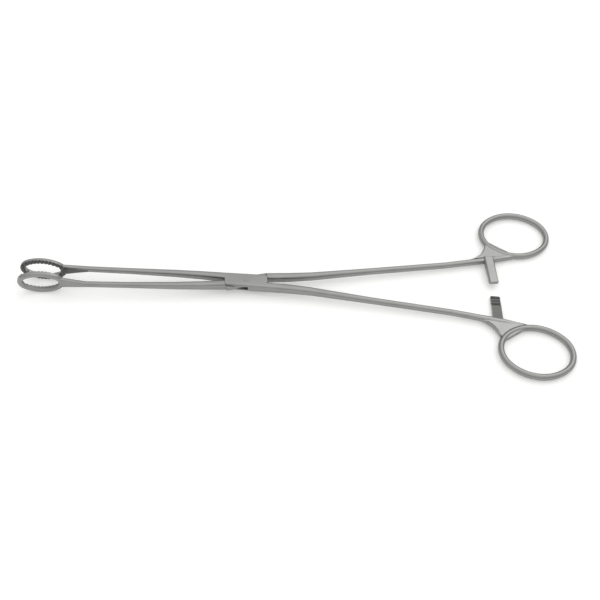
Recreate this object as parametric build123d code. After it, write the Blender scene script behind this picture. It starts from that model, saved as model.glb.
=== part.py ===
from build123d import *
import os
from math import cos, radians, sin

# Sponge holding forceps, 25 cm long: two forged halves of stainless steel that cross in a box lock.
# All sizes are in millimetres and degrees. The origin is the middle of the joint pin, X runs from
# the jaws to the finger rings, Y lies across the instrument in the plane in which it opens, and Z
# runs along the pin. Both halves are drawn with the jaws closed, then opened to the resting pose.

# Lengths from the joint pin
jaw_reach = 92.0            # to the middle of the jaw ring
finger_ring_reach = 130.3   # to the middle of the finger ring
finger_ring_offset = 30.3   # from the long axis to the middle of the finger ring, closed

# Opening, measured between the halves
rest_opening = 3.7
full_opening = 53.0
stop_margin = 0.5

# Jaw ring, an oval loop that stands upright
jaw_length = 20.6
jaw_height = 13.0
jaw_end_radius = 5.1
jaw_bar_width = 2.3
jaw_bar_depth = 2.0
jaw_outer_round = 0.95
jaw_window_bevel = 0.4
jaw_gap_closed = 0.1
serration_pitch = 1.6
serration_depth = 0.4
serration_half_width = 0.55

# Box lock
box_reach = 9.7             # radius of the cheek ends about the pin
box_half_width = 3.6
box_height = 4.4
box_round = 1.2
slot_height = 1.9
tongue_side_clearance = 0.05
tongue_edge_clearance = 0.12
tongue_width = 5.0
tongue_angle = 12.5         # how far the tongue lies across the box when closed
shoulder_clearance = 0.15

# Joint pin, its ends peened into countersinks and ground flush
pin_diameter = 2.5
pin_head_diameter = 3.1
pin_head_depth = 0.35
pin_end_bevel = 0.08
pin_running_clearance = 0.04

# Finger ring, an oval loop that lies flat
finger_ring_half_length = 16.0
finger_ring_half_width = 13.2
finger_ring_end_share = 0.86  # radius of the ends, as a share of the half width
finger_ring_splay = 1.55
finger_bar_width = 2.8
finger_bar_height = 3.2
finger_bar_bevel = 0.85
ring_meeting_share = 0.015  # where the handle shank runs into the ring, as a share of its round
ring_web_height = 2.4
ring_web_bevel = 0.6
ring_web_lead = 8.5         # how far before the ring the web leaves the shank
ring_web_shares = (0.03, 0.21)
ring_web_hollow = 2.6       # depth of the web's concave edge

# Ratchet bars, one above and one below the plane between the halves
ratchet_reach = 115.0
ratchet_bar_width = 4.4
ratchet_bar_height = 2.2
ratchet_overlap = 0.75      # how far each tip passes the long axis when closed
ratchet_running_gap = 0.15
ratchet_pitch = 1.5
ratchet_tooth_depth = 0.8
ratchet_teeth = 4
ratchet_bar_round = 0.7
ratchet_bar_bevel = 0.5

# Shanks, as sections along the shank: share of its length, distance of its middle from the straight
# line between its ends, width, height and corner radius. The share runs from box to ring.
jaw_shank_offset = 1.95     # from the long axis to the middle of the shank, at the box
jaw_shank_sections = (
    (0.00, 0.00, 3.30, box_height, box_round),
    (0.14, 0.52, 3.00, 4.10, 1.30),
    (0.31, 0.88, 2.75, 3.60, 1.25),
    (0.60, 0.98, 2.30, 2.90, 1.05),
    (0.85, 0.94, 2.20, 2.75, 1.00),
    (1.00, 0.10, jaw_bar_depth - 0.1, 5.60, 0.85),
)
handle_shank_offset = 2.50
handle_shank_sections = (
    (0.00, 0.00, 3.30, box_height, box_round),
    (0.085, -0.95, 3.40, 4.30, 1.40),
    (0.17, -1.50, 3.20, 3.95, 1.40),
    (0.40, -1.55, 2.60, 3.15, 1.15),
    (0.70, -1.85, 2.55, 3.00, 1.15),
    (0.90, -0.90, 2.75, 3.00, 1.20),
    (1.00, 0.00, 2.00, 2.50, 0.90),
)
shank_root_depth = 7.0      # how far each shank runs into the box

# Sizes that follow
jaw_bar_middle = jaw_gap_closed / 2 + jaw_bar_depth / 2
jaw_heel = jaw_reach - jaw_length / 2 + jaw_bar_width / 2
tongue_height = slot_height - 2 * tongue_side_clearance
slot_width = tongue_width + 2 * tongue_edge_clearance
shoulder_reach = box_reach + shoulder_clearance
slot_sweep = full_opening + stop_margin
far_away = 4 * box_reach


def oval(half_length, half_width, end_radius):
    """An oval of four smoothly joined arcs, from the middle of its upper side anticlockwise."""
    centre_x = half_length - end_radius
    side_radius = (centre_x ** 2 + half_width ** 2 - end_radius ** 2) / 2 / (half_width - end_radius)
    reach = end_radius / (side_radius - end_radius)
    x = centre_x * (1 + reach)
    y = (side_radius - half_width) * reach
    top, bottom = (0, half_width), (0, -half_width)
    left, right = (-half_length, 0), (half_length, 0)
    upper = ThreePointArc((x, y), top, (-x, y))
    return Wire([upper.trim(0.5, 1), ThreePointArc((-x, y), left, (-x, -y)),
                 ThreePointArc((-x, -y), bottom, (x, -y)), ThreePointArc((x, -y), right, (x, y)),
                 upper.trim(0, 0.5)])


def finger_oval(growth=0.0):
    """The middle line of the finger ring's bar, or a line beside it, from the side facing the axis."""
    place = Pos(finger_ring_reach, -finger_ring_offset, 0) * Rot(0, 0, -finger_ring_splay)
    end_radius = finger_ring_end_share * finger_ring_half_width
    return place * oval(finger_ring_half_length + growth, finger_ring_half_width + growth,
                        end_radius + growth)


def handle_end():
    """Where the handle shank ends, inside the finger ring."""
    return finger_oval() @ ring_meeting_share


def handle_middle(x):
    """Distance from the long axis to the straight line between the handle shank's ends."""
    end = handle_end()
    share = (x - box_reach) / (end.X - box_reach)
    return handle_shank_offset + share * (-end.Y - handle_shank_offset)


def shank_section(x, y, width, height, radius):
    """A rounded section across the long axis."""
    across = Plane(origin=(x, y, 0), x_dir=(0, 1, 0), z_dir=(1, 0, 0))
    return across * RectangleRounded(width, height, radius)


def shank(sections, root_x, start, end):
    """A tapered shank from inside the box, past the box's end at start, to the ring at end."""
    profiles = [shank_section(root_x, start[1], *sections[0][2:])]
    side = 1 if start[1] > 0 else -1
    for share, bulge, width, height, radius in sections:
        x = start[0] + share * (end[0] - start[0])
        y = start[1] + share * (end[1] - start[1]) + side * bulge
        profiles.append(shank_section(x, y, width, height, radius))
    return loft(profiles, ruled=True)


def jaw_ring():
    """The upright oval loop, flat and serrated inside, rounded outside."""
    grip_plane = Plane(origin=(-jaw_reach, jaw_gap_closed / 2, 0), x_dir=(1, 0, 0), z_dir=(0, 1, 0))
    outline = make_face(oval(jaw_length / 2, jaw_height / 2, jaw_end_radius))
    window = make_face(oval(jaw_length / 2 - jaw_bar_width, jaw_height / 2 - jaw_bar_width,
                            jaw_end_radius - jaw_bar_width))
    ring = extrude(grip_plane * (outline - window), jaw_bar_depth)
    back = ring.faces().sort_by(Axis.Y)[-1]
    ring = fillet(back.outer_wire().edges(), jaw_outer_round)
    back = ring.faces().sort_by(Axis.Y)[-1]
    ring = chamfer(back.inner_wires()[0].edges(), jaw_window_bevel)
    return ring - serrations()


def serrations():
    """Grooves across the gripping face, side by side along the jaw."""
    count = int(jaw_length / serration_pitch)
    bottom = jaw_gap_closed / 2 + serration_depth
    grooves = []
    for index in range(count):
        x = -jaw_reach + (index - (count - 1) / 2) * serration_pitch
        corners = [(x - serration_half_width, 0), (x + serration_half_width, 0), (x, bottom)]
        groove = extrude(make_face(Polyline(*corners, close=True)), jaw_height / 2, both=True)
        grooves.append(groove)
    return grooves


def finger_ring():
    """The flat oval loop for a finger or thumb, well bevelled all round."""
    outline, window = [make_face(finger_oval(side * finger_bar_width / 2)) for side in (1, -1)]
    ring = extrude(outline - window, finger_bar_height / 2, both=True)
    return chamfer(ring.edges().filter_by(GeomType.CIRCLE), finger_bar_bevel)


def ring_web():
    """The thin web that fills the corner between the handle shank and the finger ring."""
    leave_x = finger_ring_reach - finger_ring_half_length - ring_web_lead
    leave = (leave_x, -handle_middle(leave_x))
    top = finger_oval() @ ring_web_shares[0]
    low = finger_oval() @ ring_web_shares[1]
    edge = [Line(leave, top), Line(top, low), SagittaArc(low, leave, -ring_web_hollow)]
    web = extrude(make_face(edge), ring_web_height / 2, both=True)
    hollow = web.faces().sort_by(Axis.X)[0]
    return chamfer(hollow.edges().filter_by(GeomType.CIRCLE), ring_web_bevel)


def ratchet_bar():
    """The ratchet arm under the dividing plane, with its teeth facing up."""
    length = handle_middle(ratchet_reach) + ratchet_overlap
    top = -ratchet_running_gap / 2
    middle = ratchet_overlap - length / 2
    place = Pos(ratchet_reach, middle, top - ratchet_bar_height / 2)
    bar = place * Box(ratchet_bar_width, length, ratchet_bar_height)
    tip_corners = bar.edges().filter_by(Axis.Z).sort_by(Axis.Y)[-2:]
    bar = fillet(tip_corners, ratchet_bar_round)
    bar = chamfer(bar.faces().sort_by(Axis.Z)[0].edges(), ratchet_bar_bevel)
    for index in range(ratchet_teeth):
        wall = ratchet_overlap - (index + 1) * ratchet_pitch
        corners = [(wall, top), (wall + ratchet_pitch, top),
                   (wall + ratchet_pitch, top - ratchet_tooth_depth)]
        profile = Plane.YZ * make_face(Polyline(*corners, close=True))
        bar -= Pos(ratchet_reach, 0, 0) * extrude(profile, ratchet_bar_width, both=True)
    return bar


def forging():
    """What both halves share: jaw ring, shanks, ratchet bar and finger ring."""
    jaw_shank = shank(jaw_shank_sections, shank_root_depth - box_reach,
                      (-box_reach, jaw_shank_offset), (-jaw_heel, jaw_bar_middle))
    end = handle_end()
    handle_shank = shank(handle_shank_sections, box_reach - shank_root_depth,
                         (box_reach, -handle_shank_offset), (end.X, end.Y))
    return jaw_shank + handle_shank + jaw_ring() + finger_ring() + ring_web() + ratchet_bar()


def bar_across(width, height, angle):
    """A straight bar through the pin, turned about it."""
    return Rot(0, 0, angle) * Box(2 * far_away, width, height)


def tongue_room():
    """The slot through the box, as wide as the tongue sweeps between closed and fully open."""
    end_angles = (tongue_angle, tongue_angle + slot_sweep)
    room = bar_across(slot_width, slot_height, end_angles[0])
    room += bar_across(slot_width, slot_height, end_angles[1])
    corners = [(0, 0)]
    for angle in end_angles:
        corners.append((far_away * cos(radians(angle)), far_away * sin(radians(angle))))
    wedge = extrude(make_face(Polyline(*corners, close=True)), slot_height / 2, both=True)
    room += wedge + Rot(0, 0, 180) * wedge
    return room & Cylinder(shoulder_reach + tongue_edge_clearance, slot_height)


def pin_hole():
    """The hole through the cheeks, countersunk on both sides, which the peened pin fills."""
    lift = (box_height - pin_head_depth) / 2
    sink = Pos(0, 0, lift) * Cone(pin_diameter / 2, pin_head_diameter / 2, pin_head_depth)
    return Cylinder(pin_diameter / 2, box_height) + sink + Rot(180, 0, 0) * sink


def pin():
    """The joint pin, with a fine bevel round its two peened ends."""
    blank = pin_hole()
    ends = blank.faces().sort_by(Axis.Z)
    return chamfer(ends[0].edges() + ends[-1].edges(), pin_end_bevel)


def box():
    """The box of the lock, whose lower side widens into the handle shank."""
    handle_side = handle_shank_offset + handle_shank_sections[0][2] / 2
    corners = [(-box_reach, box_half_width), (box_reach, box_half_width),
               (box_reach, -handle_side), (-box_reach, -box_half_width)]
    block = extrude(make_face(Polyline(*corners, close=True)), box_height / 2, both=True)
    long_edges = block.edges().filter_by(Axis.Z, reverse=True).filter_by(Axis.Y, reverse=True)
    block = fillet(long_edges, box_round)
    return block & Cylinder(box_reach, box_height)


def female(common):
    """The half with the box, whose jaw is on the +Y side."""
    return common + box() - tongue_room() - pin_hole()


def male(common):
    """The half with the tongue, whose jaw is on the -Y side."""
    tongue = bar_across(tongue_width, tongue_height, tongue_angle)
    tongue = tongue & Cylinder(shoulder_reach, box_height)
    half = Rot(180, 0, 0) * common + tongue
    half -= Cylinder(shoulder_reach, 2 * box_height) - tongue
    return half - Cylinder(pin_diameter / 2 + pin_running_clearance, box_height)


common_forging = forging()
female_turn = Rot(0, 0, -rest_opening / 2)
male_turn = Rot(0, 0, rest_opening / 2)
os.makedirs("parts", exist_ok=True)
export_step(female_turn * female(common_forging), "parts/female_half.step")
export_step(male_turn * male(common_forging), "parts/male_half.step")
export_step(female_turn * pin(), "parts/joint_pin.step")
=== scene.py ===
import math
import bpy
from mathutils import Matrix, Vector


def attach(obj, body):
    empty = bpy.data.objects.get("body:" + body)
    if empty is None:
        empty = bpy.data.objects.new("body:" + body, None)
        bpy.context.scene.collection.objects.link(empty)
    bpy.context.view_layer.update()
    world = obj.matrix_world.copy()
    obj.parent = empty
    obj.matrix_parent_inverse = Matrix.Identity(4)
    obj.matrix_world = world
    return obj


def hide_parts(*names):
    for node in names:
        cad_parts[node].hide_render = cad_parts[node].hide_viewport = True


bl_info = {
    "name": "Sponge Holding Forceps",
    "version": (1, 0, 0),
    "blender": (4, 5, 0),
    "location": "View3D > Sidebar > Forceps",
    "description": "Dresses the forged halves and the pin of a pair of sponge holding forceps",
    "category": "Object",
}

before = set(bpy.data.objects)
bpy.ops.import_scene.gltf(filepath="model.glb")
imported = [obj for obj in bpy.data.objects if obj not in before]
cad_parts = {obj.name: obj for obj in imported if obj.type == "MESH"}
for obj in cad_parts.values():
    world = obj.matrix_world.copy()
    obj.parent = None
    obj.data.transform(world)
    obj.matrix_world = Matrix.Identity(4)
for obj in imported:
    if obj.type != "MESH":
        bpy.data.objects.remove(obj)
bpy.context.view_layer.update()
MM = 0.001

# Meshes
SAME_POINT = 0.0005 * MM  # the facets' doubled corners lie closer together than this
FLAT_ANGLE = math.radians(0.05)  # facets that turn less than this belong to one flat face
SMOOTH_ANGLE = math.radians(25)  # less than the 28 degrees of a ratchet tooth's ramp
RING_POINTS = 28  # round the bar of a finger ring
RING_STEP = 0.9 * MM  # along the bar of a finger ring
RING_SEAM = 0.01 * MM  # the spun bar's ends lie closer together than this
SINK_WITHIN = 1.16  # times the bar's own section: the CAD bar's bevelled corners stand at 1.1
SINK_TO = 0.88  # times the bar's own section

# Materials
NOISE_LOW, NOISE_HIGH = 0.3, 0.7  # where nearly all of a noise texture's values lie
LINE_STRETCH = 0.03  # the polish lines run some thirty times further than they are wide
RELIEF_DEPTH = 0.02 * MM


class ForcepsSteel(bpy.types.PropertyGroup):
    """Finish of the stainless steel."""

    colour: bpy.props.StringProperty(
        name="Colour", description="sRGB hex colour of the polished steel", default="949493")
    pin_colour: bpy.props.StringProperty(
        name="Pin colour", description="sRGB hex colour of the ground pin ends", default="929291")
    # the teeth's darker colour is painted shade for the grooves between them; the milled finish
    # itself is only duller
    tooth_painted_shade_colour: bpy.props.StringProperty(
        name="Tooth colour", description="sRGB hex colour of the milled teeth", default="6A6A69")
    roughness: bpy.props.FloatProperty(
        name="Roughness", description="How much the satin polish spreads a reflection",
        default=0.32, min=0.0, max=1.0, subtype="FACTOR")
    tooth_roughness: bpy.props.FloatProperty(
        name="Tooth roughness", description="How much the milled teeth spread a reflection",
        default=0.45, min=0.0, max=1.0, subtype="FACTOR")
    cloud_size: bpy.props.FloatProperty(
        name="Cloud size", description="Width of the soft patches that the polishing wheel leaves",
        default=9 * MM, min=1 * MM, unit="LENGTH")
    line_spacing: bpy.props.FloatProperty(
        name="Line spacing", description="Distance between the lines of the last polish",
        default=0.35 * MM, min=0.05 * MM, unit="LENGTH")
    edge_round: bpy.props.FloatProperty(
        name="Edge round", description="Width of the polish that breaks each crisp edge",
        default=0.22 * MM, min=0.01 * MM, unit="LENGTH")


# these places take the teeth's material, whose darker colour is painted shade
class ForcepsTeeth(bpy.types.PropertyGroup):
    """Where the milled teeth lie when the forceps are closed."""

    half_opening: bpy.props.FloatProperty(
        name="Half opening", description="Turn of each half about the pin, from closed to rest",
        default=math.radians(1.85), subtype="ANGLE")
    jaw_start: bpy.props.FloatProperty(
        name="Jaw start", description="From the pin to the start of the jaws' milled faces",
        default=75.0 * MM, unit="LENGTH")
    jaw_depth: bpy.props.FloatProperty(
        name="Jaw depth", description="How deep below the closed plane the jaw teeth go",
        default=0.55 * MM, unit="LENGTH")
    ratchet_reach: bpy.props.FloatProperty(
        name="Ratchet reach", description="From the pin to the middle of the ratchet arms",
        default=115.0 * MM, unit="LENGTH")
    ratchet_width: bpy.props.FloatProperty(
        name="Ratchet width", description="Width of a ratchet arm",
        default=4.4 * MM, unit="LENGTH")
    ratchet_length: bpy.props.FloatProperty(
        name="Ratchet length",
        description="Length of the dull face of a ratchet arm, from the closed plane",
        default=14.0 * MM, unit="LENGTH")
    ratchet_depth: bpy.props.FloatProperty(
        name="Ratchet depth", description="How deep into its arm a ratchet tooth may be cut",
        default=1.0 * MM, unit="LENGTH")


class ForcepsRings(bpy.types.PropertyGroup):
    """The two finger rings, as ovals of four arcs, in the resting pose."""

    reach: bpy.props.FloatProperty(
        name="Reach", description="From the joint pin to a ring's middle, along the instrument",
        default=129.25 * MM, unit="LENGTH")
    offset: bpy.props.FloatProperty(
        name="Offset", description="From the long axis to a ring's middle",
        default=34.49 * MM, unit="LENGTH")
    splay: bpy.props.FloatProperty(
        name="Splay", description="How far a ring's long axis turns away from the instrument's",
        default=math.radians(3.4), subtype="ANGLE")
    half_length: bpy.props.FloatProperty(
        name="Half length", description="Half the length of the oval through the middle of the bar",
        default=16.0 * MM, unit="LENGTH")
    half_width: bpy.props.FloatProperty(
        name="Half width", description="Half the width of the oval through the middle of the bar",
        default=13.2 * MM, unit="LENGTH")
    end_radius: bpy.props.FloatProperty(
        name="End radius", description="Radius of the two end arcs through the middle of the bar",
        default=11.352 * MM, unit="LENGTH")
    bar_width: bpy.props.FloatProperty(
        name="Bar width", description="Width of the bar in the plane of the ring",
        default=2.8 * MM, unit="LENGTH")
    bar_height: bpy.props.FloatProperty(
        name="Bar height", description="Height of the bar across the plane of the ring",
        default=3.2 * MM, unit="LENGTH")


class ForcepsStage(bpy.types.PropertyGroup):
    """Camera, floor and light."""

    azimuth: bpy.props.FloatProperty(
        name="Azimuth", description="Turn of the camera round the object",
        default=math.radians(-4.7), subtype="ANGLE")
    elevation: bpy.props.FloatProperty(
        name="Elevation", description="Height of the camera over the horizon",
        default=math.radians(51.65), subtype="ANGLE")
    roll: bpy.props.FloatProperty(
        name="Roll", description="Turn of the camera about its line of sight",
        default=math.radians(5.53), subtype="ANGLE")
    distance: bpy.props.FloatProperty(
        name="Distance", description="From the camera to the point that it looks at",
        default=406.6 * MM, unit="LENGTH")
    target: bpy.props.FloatVectorProperty(
        name="Target", description="Point that the camera looks at", size=3,
        default=(24.7 * MM, -9.55 * MM, 0.0), subtype="TRANSLATION")
    lens: bpy.props.FloatProperty(
        name="Lens", description="Focal length on a sensor 36 mm wide", default=54.0, unit="CAMERA")
    floor_colour: bpy.props.StringProperty(
        name="Floor colour", description="sRGB hex colour of the floor", default="E6E6E4")
    floor_size: bpy.props.FloatProperty(
        name="Floor size", description="Side of the square floor", default=6.0, unit="LENGTH")
    floor_glow: bpy.props.FloatProperty(
        name="Floor glow", description="How far the floor is lifted towards white where it is seen",
        default=0.25, min=0.0, max=1.0)
    sky: bpy.props.FloatProperty(
        name="Sky", description="Strength of the light from straight above", default=1.35, min=0.0)
    horizon: bpy.props.FloatProperty(
        name="Horizon", description="Strength of the light from the sides", default=0.38, min=0.0)
    softbox_place: bpy.props.FloatVectorProperty(
        name="Softbox place", description="Where the soft lamp stands", size=3,
        default=(0.6, 0.75, 1.1), subtype="TRANSLATION")
    softbox_size: bpy.props.FloatProperty(
        name="Softbox size", description="Side of the square soft lamp",
        default=0.7, min=0.1, unit="LENGTH")
    softbox_power: bpy.props.FloatProperty(
        name="Softbox power", description="Power of the soft lamp",
        default=1.6, min=0.0, unit="POWER")


def linear(text):
    """An sRGB hex colour as linear red, green, blue and alpha."""
    values = [int(text[i:i + 2], 16) / 255 for i in (0, 2, 4)]
    return [v / 12.92 if v <= 0.04045 else ((v + 0.055) / 1.055) ** 2.4 for v in values] + [1.0]


def add_node(tree, kind, settings=None, inputs=None, links=None):
    """Adds a node, with its settings, its input values and the outputs that feed it."""
    node = tree.nodes.new(kind)
    for name, value in (settings or {}).items():
        setattr(node, name, value)
    for name, value in (inputs or {}).items():
        node.inputs[name].default_value = value
    for name, output in (links or {}).items():
        tree.links.new(output, node.inputs[name])
    return node


def new_material(name):
    """An empty material, with its node tree and output node."""
    material = bpy.data.materials.new(name)
    material.use_nodes = True
    material.node_tree.nodes.clear()
    output = add_node(material.node_tree, "ShaderNodeOutputMaterial")
    return material, material.node_tree, output


def noise(tree, size, place, inputs):
    """A noise texture whose patches are about one size, in metres."""
    return add_node(tree, "ShaderNodeTexNoise", {"noise_dimensions": "3D"},
                    {"Scale": 1 / size, **inputs}, {"Vector": place})


def shade(tree, colour, darkest, lightest, pattern):
    """A colour that a pattern makes darker and lighter, each a share of the colour itself."""
    base = linear(colour)[:3]
    return add_node(tree, "ShaderNodeMapRange", {"data_type": "FLOAT_VECTOR"},
                    {"From Min": (NOISE_LOW,) * 3, "From Max": (NOISE_HIGH,) * 3,
                     "To Min": [v * darkest for v in base], "To Max": [v * lightest for v in base]},
                    {"Vector": pattern})


def milled_stainless_painted_shade(name, colour, steel):
    """Stainless steel teeth, as the cutter left them duller than the polished bars; their darker
    colour is painted shade for the grooves between the teeth.

    The eye gets crisp dark flanks with hardly any highlight, and the cutter's marks as a grain.
    """
    material, tree, output = new_material(name)
    place = add_node(tree, "ShaderNodeTexCoord")
    marks = noise(tree, steel.line_spacing, place.outputs["Object"], {"Detail": 3.0})
    tint = shade(tree, colour, 0.9, 1.1, marks.outputs["Fac"])
    relief = add_node(tree, "ShaderNodeBump", None, {"Strength": 0.1, "Distance": RELIEF_DEPTH},
                      {"Height": marks.outputs["Fac"]})
    surface = add_node(tree, "ShaderNodeBsdfPrincipled", None,
                       {"Metallic": 1.0, "Roughness": steel.tooth_roughness},
                       {"Base Color": tint.outputs["Vector"], "Normal": relief.outputs["Normal"]})
    tree.links.new(surface.outputs["BSDF"], output.inputs["Surface"])
    return material


def satin_stainless(name, colour, steel):
    """Forged stainless steel, polished on a wheel to a satin lustre.

    The eye gets a soft grey sheen, with long highlights along each bar, faint cloudy patches,
    very fine lines along the instrument and edges that the polish has rounded. The real lines are
    finer than a tenth of a millimetre; they are drawn coarser, so that they show.
    """
    material, tree, output = new_material(name)
    place = add_node(tree, "ShaderNodeTexCoord")
    clouds = noise(tree, steel.cloud_size, place.outputs["Object"],
                   {"Detail": 3.0, "Roughness": 0.55})
    stretch = add_node(tree, "ShaderNodeMapping", {"vector_type": "POINT"},
                       {"Scale": (LINE_STRETCH, 1.0, 1.0)}, {"Vector": place.outputs["Object"]})
    lines = noise(tree, steel.line_spacing, stretch.outputs["Vector"],
                  {"Detail": 2.0, "Roughness": 0.6})
    spread = add_node(tree, "ShaderNodeMapRange", None,
                      {"From Min": NOISE_LOW, "From Max": NOISE_HIGH,
                       "To Min": steel.roughness - 0.05, "To Max": steel.roughness + 0.07},
                      {"Value": clouds.outputs["Fac"]})
    tint = shade(tree, colour, 0.93, 1.06, clouds.outputs["Fac"])
    edges = add_node(tree, "ShaderNodeBevel", {"samples": 6}, {"Radius": steel.edge_round})
    relief = add_node(tree, "ShaderNodeBump", None, {"Strength": 0.12, "Distance": RELIEF_DEPTH},
                      {"Height": lines.outputs["Fac"], "Normal": edges.outputs["Normal"]})
    surface = add_node(tree, "ShaderNodeBsdfPrincipled", None, {"Metallic": 1.0},
                       {"Base Color": tint.outputs["Vector"], "Roughness": spread.outputs["Result"],
                        "Normal": relief.outputs["Normal"]})
    tree.links.new(surface.outputs["BSDF"], output.inputs["Surface"])
    return material


def deselect_all():
    if bpy.context.object and bpy.context.object.mode != "OBJECT":
        bpy.ops.object.mode_set(mode="OBJECT")
    bpy.ops.object.select_all(action="DESELECT")


def choose(piece):
    """Makes a piece the only selected object, and the active one."""
    deselect_all()
    piece.select_set(True)
    bpy.context.view_layer.objects.active = piece


def take_over(node, name):
    """A copy of a CAD node, with its doubled points merged and its flat faces made whole."""
    piece = bpy.data.objects.new(name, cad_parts[node].data.copy())
    bpy.context.scene.collection.objects.link(piece)
    piece.data.materials.clear()
    choose(piece)
    bpy.ops.object.mode_set(mode="EDIT")
    bpy.ops.mesh.select_all(action="SELECT")
    bpy.ops.mesh.remove_doubles(threshold=SAME_POINT)
    bpy.ops.mesh.dissolve_limited(angle_limit=FLAT_ANGLE)
    bpy.ops.object.mode_set(mode="OBJECT")
    return piece


def smooth(piece):
    """Shades the rounded faces smooth, leaves edges sharp, and lets the large faces lead."""
    choose(piece)
    bpy.ops.object.shade_smooth_by_angle(angle=SMOOTH_ANGLE)
    lead = piece.modifiers.new("large faces lead", "WEIGHTED_NORMAL")
    lead.mode = "FACE_AREA_WITH_ANGLE"
    lead.keep_sharp = True
    bpy.ops.object.modifier_apply(modifier=lead.name)


def ring_arcs(rings):
    """The oval's four arcs, clockwise from the middle of its top: centre, radius and angle."""
    step = rings.half_length - rings.end_radius
    excess = rings.half_width - rings.end_radius
    side_radius = (step ** 2 + rings.half_width ** 2 - rings.end_radius ** 2) / 2 / excess
    drop = side_radius - rings.half_width
    side_angle = 2 * math.atan2(step, drop)
    end_angle = math.pi - side_angle
    return (((0, -drop), side_radius, side_angle), ((step, 0), rings.end_radius, end_angle),
            ((0, drop), side_radius, side_angle), ((-step, 0), rings.end_radius, end_angle))


def ring_place(rings, side):
    """Turns and moves a ring from the origin to its half: side is 1 for +Y and -1 for -Y."""
    return (Matrix.Translation((rings.reach, side * rings.offset, 0))
            @ Matrix.Rotation(side * rings.splay, 4, "Z"))


def sink_facets(piece, rings, side):
    """Draws the bevelled facets of the CAD ring in, under the round bar that covers them."""
    place = ring_place(rings, side)
    home = place.inverted()
    top, right, bottom, left = ring_arcs(rings)
    step, side_angle = right[0][0], top[2]
    for vertex in piece.data.vertices:
        point = home @ vertex.co
        if math.atan2(abs(point.x) - step, abs(point.y)) > side_angle / 2:
            centre, radius, _ = right if point.x > 0 else left
        else:
            centre, radius, _ = top if point.y > 0 else bottom
        arm = Vector((point.x - centre[0], point.y - centre[1]))
        out = arm.length - radius
        share = math.hypot(out / rings.bar_width, point.z / rings.bar_height) * 2
        if share < SINK_WITHIN:
            scale = SINK_TO / max(share, SINK_TO)
            arm.length = radius + out * scale
            vertex.co = place @ Vector((centre[0] + arm.x, centre[1] + arm.y, point.z * scale))


def round_ring(rings, side):
    """The round bar of a finger ring: one oval section, spun along the four arcs."""
    start = (0, rings.half_width, 0)
    deselect_all()
    bpy.ops.mesh.primitive_circle_add(vertices=RING_POINTS, radius=rings.bar_width / 2,
                                      location=start, rotation=(0, math.pi / 2, 0))
    ring = bpy.context.object
    bpy.ops.object.transform_apply(location=True, rotation=True, scale=True)
    bpy.ops.object.mode_set(mode="EDIT")
    bpy.ops.mesh.select_all(action="SELECT")
    bpy.ops.transform.resize(value=(1, 1, rings.bar_height / rings.bar_width),
                             center_override=start)
    top, right, bottom, left = ring_arcs(rings)
    half_top = (top[0], top[1], top[2] / 2)
    for centre, radius, angle in (half_top, right, bottom, left, half_top):
        bpy.ops.mesh.spin(steps=round(angle * radius / RING_STEP), angle=angle,
                          center=(*centre, 0), axis=(0, 0, 1))
    bpy.ops.mesh.select_all(action="SELECT")
    bpy.ops.mesh.remove_doubles(threshold=RING_SEAM)
    bpy.ops.mesh.normals_make_consistent(inside=False)
    bpy.ops.object.mode_set(mode="OBJECT")
    ring.data.transform(ring_place(rings, side))
    return ring


def dull_teeth_painted_shade(piece, side, teeth):
    """Gives the second material, duller and painted darker as shade between the teeth, to the jaws'
    milled faces and the ratchet arm's toothed face.
    """
    closed = Matrix.Rotation(-side * teeth.half_opening, 4, "Z")
    for face in piece.data.polygons:
        middle, normal = closed @ face.center, closed.to_3x3() @ face.normal
        in_jaw = (middle.x < -teeth.jaw_start and abs(middle.y) < teeth.jaw_depth
                  and abs(normal.y) > 0.3)
        on_arm = (abs(middle.x - teeth.ratchet_reach) < teeth.ratchet_width / 2
                  and abs(middle.y) < teeth.ratchet_length and abs(middle.z) < teeth.ratchet_depth
                  and (normal.z * -side > 0.7 or side * normal.y > 0.9))
        face.material_index = 1 if in_jaw or on_arm else 0


def finish_piece(piece, node, body, slot_name, *materials):
    """Gives a piece its materials and hangs it on its body in place of its CAD node."""
    piece.data.materials.clear()
    for material in materials:
        piece.data.materials.append(material)
    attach(piece, body)
    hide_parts(node)


def dress_half(scene, sex, side):
    """A half with its finger ring made round, its shading cleaned and its teeth left dull, with
    painted shade on them.

    sex is female for the half with the box and male for the half with the tongue.
    """
    steel, rings = scene.forceps_steel, scene.forceps_rings
    half = f"{sex}_half"
    piece = take_over(half, f"{half}_forging")
    sink_facets(piece, rings, side)
    ring = round_ring(rings, side)
    choose(piece)
    ring.select_set(True)
    bpy.ops.object.join()
    smooth(piece)
    polished = satin_stainless(f"satin_stainless_{sex}", steel.colour, steel)
    # the teeth's material is duller, and its darker colour is painted shade between the teeth
    shaded_teeth_material = milled_stainless_painted_shade(f"milled_teeth_painted_shade_{sex}", steel.tooth_painted_shade_colour, steel)
    finish_piece(piece, half, half, f"{half}_steel", polished, shaded_teeth_material)
    dull_teeth_painted_shade(piece, side, scene.forceps_teeth)


class FORCEPS_OT_female_half(bpy.types.Operator):
    """Dress the half that carries the box"""

    bl_idname = "forceps.female_half"
    bl_label = "Female half"

    def execute(self, context):
        dress_half(context.scene, "female", -1)
        return {"FINISHED"}


class FORCEPS_OT_male_half(bpy.types.Operator):
    """Dress the half that runs through the box"""

    bl_idname = "forceps.male_half"
    bl_label = "Male half"

    def execute(self, context):
        dress_half(context.scene, "male", 1)
        return {"FINISHED"}


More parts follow.
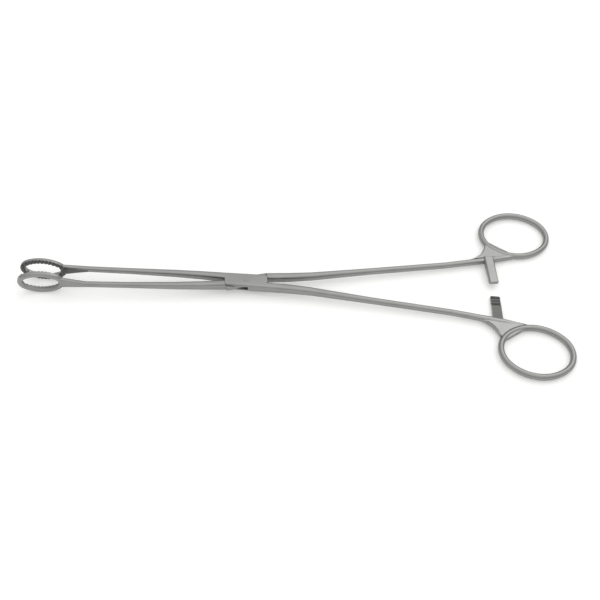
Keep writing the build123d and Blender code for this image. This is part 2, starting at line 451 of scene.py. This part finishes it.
class FORCEPS_OT_joint_pin(bpy.types.Operator):
    """Dress the pin, whose peened ends are ground flush with the cheeks"""

    bl_idname = "forceps.joint_pin"
    bl_label = "Joint pin"

    def execute(self, context):
        steel = context.scene.forceps_steel
        piece = take_over("joint_pin", "peened_pin")
        smooth(piece)
        material = satin_stainless("ground_pin_steel", steel.pin_colour, steel)
        finish_piece(piece, "joint_pin", "female_half", "pin_steel", material)
        return {"FINISHED"}


def resting_plane():
    """Where the instrument lies on a table: its jaws' lowest point, and the slope to its handles."""
    points = [v.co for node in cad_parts.values() for v in node.data.vertices]
    jaw = min((p for p in points if p.x < 0), key=lambda p: p.z)
    return jaw, min((p.z - jaw.z) / (p.x - jaw.x) for p in points if p.x > 0)


def seen_share(tree, strength):
    """A strength that only the camera, reflections and glass see, so it lights nothing else."""
    rays = add_node(tree, "ShaderNodeLightPath")
    total = rays.outputs["Is Camera Ray"]
    for name in ("Is Glossy Ray", "Is Transmission Ray"):
        step = add_node(tree, "ShaderNodeMath", {"operation": "MAXIMUM"})
        tree.links.new(total, step.inputs[0])
        tree.links.new(rays.outputs[name], step.inputs[1])
        total = step.outputs["Value"]
    scale = add_node(tree, "ShaderNodeMath", {"operation": "MULTIPLY"})
    tree.links.new(total, scale.inputs[0])
    scale.inputs[1].default_value = strength
    return scale.outputs["Value"]


def matt_white_paper(stage):
    """Matt white paper: the eye gets the soft shadows, on a ground lifted a little towards white."""
    material, tree, output = new_material("matt_white_paper")
    paper = add_node(tree, "ShaderNodeBsdfDiffuse", None, {"Color": linear(stage.floor_colour)})
    glow = add_node(tree, "ShaderNodeEmission", None, {"Color": linear("FFFFFF")},
                    {"Strength": seen_share(tree, stage.floor_glow)})
    surface = add_node(tree, "ShaderNodeAddShader")
    tree.links.new(paper.outputs["BSDF"], surface.inputs[0])
    tree.links.new(glow.outputs["Emission"], surface.inputs[1])
    tree.links.new(surface.outputs["Shader"], output.inputs["Surface"])
    return material


class FORCEPS_OT_stage(bpy.types.Operator):
    """Set up the camera, the floor and the soft studio light"""

    bl_idname = "forceps.stage"
    bl_label = "Stage"

    def execute(self, context):
        stage = context.scene.forceps_stage
        self.camera(context, stage)
        self.floor(stage)
        self.light(context, stage)
        context.scene.view_settings.view_transform = "Standard"
        return {"FINISHED"}

    def camera(self, context, stage):
        """Places the camera at the photograph's viewing angle."""
        azimuth, elevation = stage.azimuth, stage.elevation
        back = Vector((math.sin(azimuth) * math.cos(elevation),
                       -math.cos(azimuth) * math.cos(elevation), math.sin(elevation)))
        right = Vector((0, 0, 1)).cross(back).normalized()
        up = back.cross(right)
        turn = Matrix.Rotation(stage.roll, 3, "Z")
        axes = Matrix((right, up, back)).transposed() @ turn
        place = Matrix.Translation(Vector(stage.target) + back * stage.distance)
        bpy.ops.object.camera_add()
        camera = bpy.context.object
        camera.matrix_world = place @ axes.to_4x4()
        camera.data.lens = stage.lens
        camera.data.clip_start = 0.01
        camera.data.clip_end = 20.0
        context.scene.camera = camera

    def floor(self, stage):
        """Lays the floor under the jaw rings and the lowest part of the handles."""
        jaw, slope = resting_plane()
        deselect_all()
        bpy.ops.mesh.primitive_plane_add(size=stage.floor_size)
        floor = bpy.context.object
        floor.name = "floor"
        height = jaw.z - jaw.x * slope
        floor.data.transform(Matrix.Translation((0, 0, height))
                             @ Matrix.Rotation(-math.atan(slope), 4, "Y"))
        floor.data.materials.append(matt_white_paper(stage))

    def light(self, context, stage):
        """A pale dome, brighter overhead than at the sides, and a softbox behind the handles."""
        world = bpy.data.worlds.new("studio")
        world.use_nodes = True
        context.scene.world = world
        tree = world.node_tree
        place = add_node(tree, "ShaderNodeTexCoord")
        height = add_node(tree, "ShaderNodeSeparateXYZ", None, None,
                          {"Vector": place.outputs["Generated"]})
        dome = add_node(tree, "ShaderNodeMapRange", None,
                        {"From Min": 0.0, "From Max": 1.0,
                         "To Min": stage.horizon, "To Max": stage.sky},
                        {"Value": height.outputs["Z"]})
        background = tree.nodes["Background"]
        background.inputs["Color"].default_value = linear("FFFFFF")
        tree.links.new(dome.outputs["Result"], background.inputs["Strength"])
        bpy.ops.object.light_add(type="AREA", location=stage.softbox_place)
        lamp = bpy.context.object
        lamp.name = "softbox"
        lamp.data.size = stage.softbox_size
        lamp.data.energy = stage.softbox_power
        lamp.rotation_euler = Vector(stage.softbox_place).to_track_quat("Z", "Y").to_euler()


class FORCEPS_PT_panel(bpy.types.Panel):
    """Sizes and steps, in the order in which they are run"""

    bl_idname = "FORCEPS_PT_panel"
    bl_label = "Sponge holding forceps"
    bl_space_type = "VIEW_3D"
    bl_region_type = "UI"
    bl_category = "Forceps"

    def draw(self, context):
        for name, kind in GROUPS.items():
            for value in kind.__annotations__:
                self.layout.prop(getattr(context.scene, name), value)
        for step in STEPS:
            self.layout.operator(step.bl_idname)


GROUPS = {"forceps_steel": ForcepsSteel, "forceps_teeth": ForcepsTeeth,
          "forceps_rings": ForcepsRings, "forceps_stage": ForcepsStage}
STEPS = (FORCEPS_OT_female_half, FORCEPS_OT_male_half, FORCEPS_OT_joint_pin, FORCEPS_OT_stage)
CLASSES = (*GROUPS.values(), *STEPS, FORCEPS_PT_panel)


def register():
    for cls in CLASSES:
        bpy.utils.register_class(cls)
    for name, kind in GROUPS.items():
        setattr(bpy.types.Scene, name, bpy.props.PointerProperty(type=kind))


def unregister():
    for name in GROUPS:
        delattr(bpy.types.Scene, name)
    for cls in reversed(CLASSES):
        bpy.utils.unregister_class(cls)


def main():
    register()
    bpy.ops.forceps.female_half()
    bpy.ops.forceps.male_half()
    bpy.ops.forceps.joint_pin()
    bpy.ops.forceps.stage()


if __name__ == "__main__":
    main()
